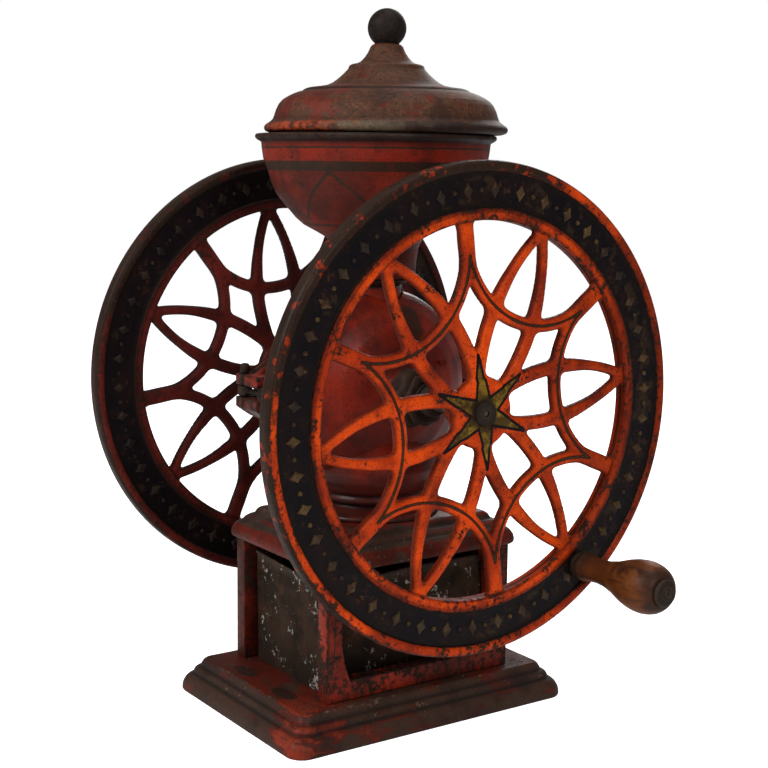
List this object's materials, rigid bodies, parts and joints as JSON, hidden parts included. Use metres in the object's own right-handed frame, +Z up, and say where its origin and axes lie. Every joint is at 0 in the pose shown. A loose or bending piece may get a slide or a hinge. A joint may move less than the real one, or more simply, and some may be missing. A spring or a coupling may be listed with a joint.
{
  "type": "counter coffee mill",
  "caption": "Hand-cranked counter coffee mill: cast wheels on one axle turn a burr in a drum between a lidded hopper and a drawer in a footed base.",
  "frame": {"origin": "bottom centre of the bounding box: on the counter, midway between the crank spindle's tip and the rear wheel's nut, 60 mm from the drum's split plane", "axes": "+Z up; the axle runs along X with the crank wheel at +X; the drawer pulls out towards -Y"},
  "size_m": [0.4994, 0.47, 0.7139],
  "materials": {
    "base_paint": "worn dark red-brown enamel over cast iron",
    "frame_paint": "worn red enamel over cast iron",
    "drum_paint": "worn maroon enamel over cast iron",
    "hopper_paint": "worn red enamel with a dark band",
    "lid_paint": "rusty brown enamel patina",
    "front_wheel_paint": "chipped orange-red enamel over cast iron",
    "rear_wheel_paint": "darkened red enamel over cast iron",
    "tin": "rusty tinned sheet",
    "dark_iron": "dark oiled iron",
    "worn_iron": "brown worn iron",
    "steel": "machined, oiled",
    "brass": "dull bearing brass",
    "wood": "turned hardwood, varnished and worn"
  },
  "bodies": {
    "frame": {"base_plate": "base_paint", "side_frame_rear_wheel": "frame_paint", "side_frame_crank": "frame_paint", "top_plate": "frame_paint", "tie_bolt_rear_wheel_side_front": "dark_iron", "tie_bolt_rear_wheel_side_back": "dark_iron", "tie_bolt_crank_side_front": "dark_iron", "tie_bolt_crank_side_back": "dark_iron", "drum_body": "drum_paint", "drum_cover": "drum_paint", "drum_foot_bolt_front": "dark_iron", "drum_foot_bolt_back": "dark_iron", "hinge_pin": "dark_iron", "latch_pin": "worn_iron", "feed_throat": "dark_iron", "fixed_burr": "steel", "burr_screw_1": "steel", "burr_screw_2": "steel", "burr_screw_3": "steel", "front_bearing_sleeve": "worn_iron", "rear_bearing_bush": "brass", "adjuster_lock_nut": "worn_iron", "hopper_bowl": "hopper_paint", "hopper_set_screw_front": "dark_iron", "hopper_set_screw_back": "dark_iron"},
    "rotor": {"axle": "steel", "front_wheel": "front_wheel_paint", "rear_wheel": "rear_wheel_paint", "front_wheel_nut": "worn_iron", "rear_wheel_nut": "worn_iron", "front_wheel_key": "steel", "rear_wheel_key": "steel", "rotating_burr": "steel", "feed_worm": "dark_iron", "rear_thrust_collar": "worn_iron", "front_thrust_collar": "worn_iron", "crank_spindle": "dark_iron", "spindle_nut": "dark_iron", "grip_end_cap": "dark_iron"},
    "grip": {"crank_grip": "wood"},
    "lid": {"lid": "lid_paint", "lid_finial": "dark_iron", "finial_nut": "dark_iron"},
    "drawer": {"drawer_tin": "tin"},
    "latch_bolt": {"latch_eyebolt": "dark_iron"},
    "latch_nut": {"latch_nut": "dark_iron"},
    "adjuster": {"grind_adjuster": "worn_iron"}
  },
  "joints": [
    {"name": "axle_spin", "type": "hinge", "parent": "frame", "child": "rotor", "pos_m": [-0.06004, 0, 0.32947], "axis": [1, 0, 0], "continuous": true},
    {"name": "grip_spin", "type": "hinge", "parent": "rotor", "child": "grip", "pos_m": [-0.06004, 0.12532, 0.16497], "axis": [1, 0, 0], "continuous": true},
    {"name": "lid_lift", "type": "slide", "parent": "frame", "child": "lid", "axis": [0, 0, 1], "range_m": [0, 0.12]},
    {"name": "drawer_slide", "type": "slide", "parent": "frame", "child": "drawer", "axis": [0, -1, 0], "range_m": [0, 0.2]},
    {"name": "latch_swing", "type": "hinge", "parent": "frame", "child": "latch_bolt", "pos_m": [-0.06733, -0.14805, 0.33699], "axis": [0, 0, -1], "range_deg": [0, 95]},
    {"name": "latch_nut_spin", "type": "hinge", "parent": "latch_bolt", "child": "latch_nut", "pos_m": [-0.02714, -0.14805, 0.33699], "axis": [1, 0, 0], "continuous": true},
    {"name": "grind_adjust", "type": "hinge", "parent": "frame", "child": "adjuster", "pos_m": [0.01751, 0, 0.32947], "axis": [1, 0, 0], "continuous": true}
  ]
}
